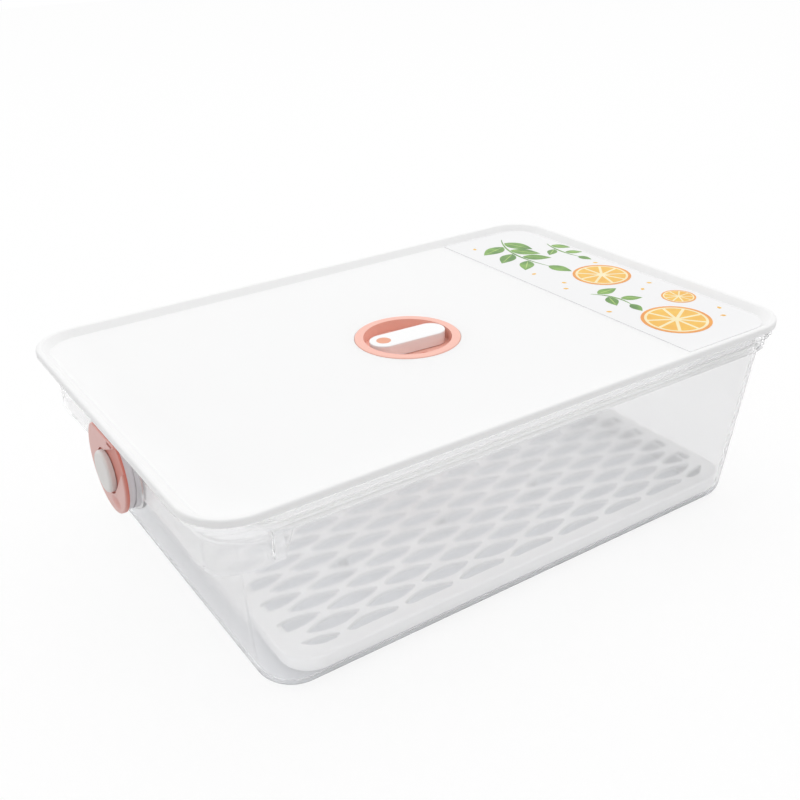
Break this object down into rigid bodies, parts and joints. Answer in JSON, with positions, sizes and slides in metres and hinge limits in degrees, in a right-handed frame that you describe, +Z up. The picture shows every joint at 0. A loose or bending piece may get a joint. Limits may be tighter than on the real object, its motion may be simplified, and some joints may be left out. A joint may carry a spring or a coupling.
{
  "type": "food storage box with drainer",
  "caption": "Clear lidded food storage box with a lift-out drain tray, a turning air vent in the white lid and a date dial on its grip end.",
  "frame": {"origin": "middle of the lid's outline, down on the surface the box stands on", "axes": "X along the box with the grip and its dial at -X, Y across it, Z up"},
  "size_m": [0.3362, 0.2198, 0.1005],
  "materials": {
    "clear_shell": "clear moulded, faintly hazy",
    "tray_white": "satin moulded",
    "lid_white": "smooth moulded",
    "silicone": "soft matte",
    "printed_film": "printed in pale green, yellow and orange",
    "vent_pink": "smooth moulded",
    "lever_white": "polished",
    "dot_orange": "smooth",
    "clear_housing": "clear, grey tinted",
    "plate_pink": "satin moulded",
    "wheel_white": "satin moulded",
    "knob_grey": "satin moulded",
    "screw_steel": "stainless"
  },
  "bodies": {
    "box": {"container": "clear_shell", "dial_housing": "clear_housing", "dial_face_plate": "plate_pink", "dial_detent_spring": "screw_steel", "dial_back_cover": "plate_pink", "dial_screws": "screw_steel"},
    "tray": {"drain_tray": "tray_white"},
    "lid": {"lid_panel": "lid_white", "lid_seal": "silicone", "label_film": "printed_film", "vent_cup": "vent_pink", "vent_cup_gasket": "silicone", "vent_retainer_ring": "vent_pink"},
    "vent_turner": {"vent_lever": "lever_white", "vent_lever_dot": "dot_orange", "vent_shutter": "vent_pink", "vent_screw": "screw_steel"},
    "date_turner": {"dial_knob": "knob_grey", "dial_number_wheel": "wheel_white", "dial_knob_screw": "screw_steel"}
  },
  "joints": [
    {"name": "lid_lift", "type": "slide", "parent": "box", "child": "lid", "axis": [0, 0, 1], "range_m": [0, 0.2]},
    {"name": "tray_lift", "type": "slide", "parent": "box", "child": "tray", "axis": [0, 0, 1], "range_m": [0, 0.1]},
    {"name": "vent_turn", "type": "hinge", "parent": "lid", "child": "vent_turner", "pos_m": [-0.0035, -0.0025, 0.09], "axis": [0, 0, 1], "range_deg": [0, 90]},
    {"name": "dial_turn", "type": "hinge", "parent": "box", "child": "date_turner", "pos_m": [-0.164, 0, 0.0738], "axis": [-1, 0, 0], "continuous": true}
  ],
  "couplings": [
    {"joint": "tray_lift", "follows": "lid_lift", "ratio": 0.5}
  ]
}
